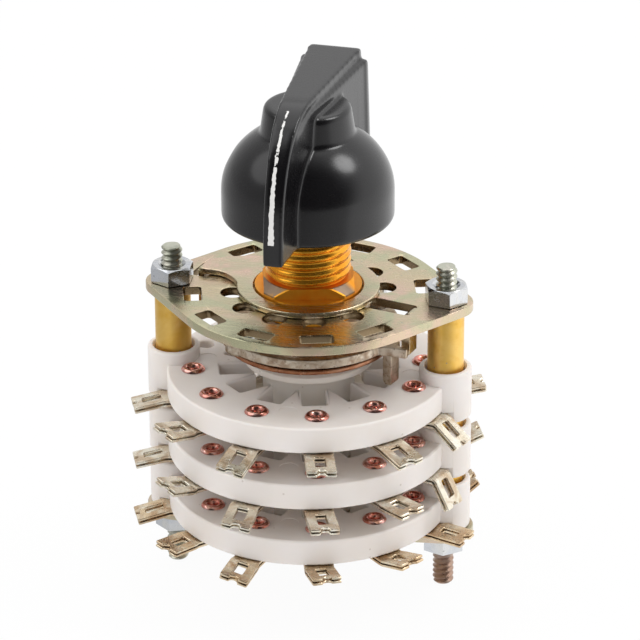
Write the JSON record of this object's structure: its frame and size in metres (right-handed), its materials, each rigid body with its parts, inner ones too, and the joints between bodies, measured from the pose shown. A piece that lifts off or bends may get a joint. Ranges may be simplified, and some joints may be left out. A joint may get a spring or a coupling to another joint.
{
  "type": "rotary switch",
  "caption": "Rotary wafer switch with a ball index, tie rods, a threaded panel bushing and a black pointer knob on its shaft.",
  "frame": {"origin": "on the shaft's axis, at the top face of the stop washer, which meets the back of the panel", "axes": "+Z along the shaft towards the knob, +X from one tie rod to the other, -Y towards the side with the solder lugs"},
  "size_m": [0.0494, 0.0448, 0.0751],
  "materials": {
    "knob_black": "glossy moulded black phenolic with a worn white pointer line",
    "brass_gold": "bright turned brass with a clear gold lacquer",
    "brass_satin": "drawn brass tube, satin",
    "zinc_yellow": "pressed steel, zinc plated with a yellow iridescent chromate",
    "zinc_bright": "bright bluish zinc plating",
    "steel": "turned or rolled steel",
    "spring_bronze": "rolled phosphor bronze",
    "wafer_white": "warm white moulded plastic",
    "terminal_tinned": "stamped brass with worn tin plating, held by a copper eyelet",
    "contact_silver": "silver-plated brass sheet",
    "fibre": "brown fibre sheet"
  },
  "bodies": {
    "root": {"bottom_nut_left": "zinc_bright", "bottom_nut_right": "zinc_bright", "long_spacer_left": "brass_satin", "long_spacer_right": "brass_satin", "mounting_plate": "zinc_yellow", "rear_strap": "zinc_yellow", "short_spacer_left_1": "brass_satin", "short_spacer_left_2": "brass_satin", "short_spacer_right_1": "brass_satin", "short_spacer_right_2": "brass_satin", "stop_washer": "zinc_yellow", "terminal_1_15": "terminal_tinned", "terminal_1_195": "terminal_tinned", "terminal_1_225": "terminal_tinned", "terminal_1_255": "terminal_tinned", "terminal_1_285": "terminal_tinned", "terminal_1_315": "terminal_tinned", "terminal_1_345": "terminal_tinned", "terminal_2_15": "terminal_tinned", "terminal_2_195": "terminal_tinned", "terminal_2_225": "terminal_tinned", "terminal_2_255": "terminal_tinned", "terminal_2_285": "terminal_tinned", "terminal_2_315": "terminal_tinned", "terminal_2_345": "terminal_tinned", "terminal_3_15": "terminal_tinned", "terminal_3_195": "terminal_tinned", "terminal_3_225": "terminal_tinned", "terminal_3_255": "terminal_tinned", "terminal_3_285": "terminal_tinned", "terminal_3_315": "terminal_tinned", "terminal_3_345": "terminal_tinned", "threaded_bushing": "brass_gold", "tie_rod_left": "zinc_bright", "tie_rod_right": "zinc_bright", "top_nut_left": "zinc_bright", "top_nut_right": "zinc_bright", "wafer_1": "wafer_white", "wafer_2": "wafer_white", "wafer_3": "wafer_white"},
    "turning": {"contact_blade_1": "contact_silver", "contact_blade_2": "contact_silver", "contact_blade_3": "contact_silver", "detent_ball_1": "steel", "detent_ball_2": "steel", "index_disc": "zinc_yellow", "index_spring": "spring_bronze", "knob": "knob_black", "knob_insert": "brass_satin", "knob_set_screw": "steel", "rotor_1": "wafer_white", "rotor_2": "wafer_white", "rotor_3": "wafer_white", "rotor_end_washer": "fibre", "shaft": "steel", "spring_clip": "steel"}
  },
  "joints": [
    {"name": "shaft_turn", "type": "hinge", "parent": "root", "child": "turning", "pos_m": [0, 0, 0], "axis": [0, 0, 1], "range_deg": [-150, 0]}
  ]
}
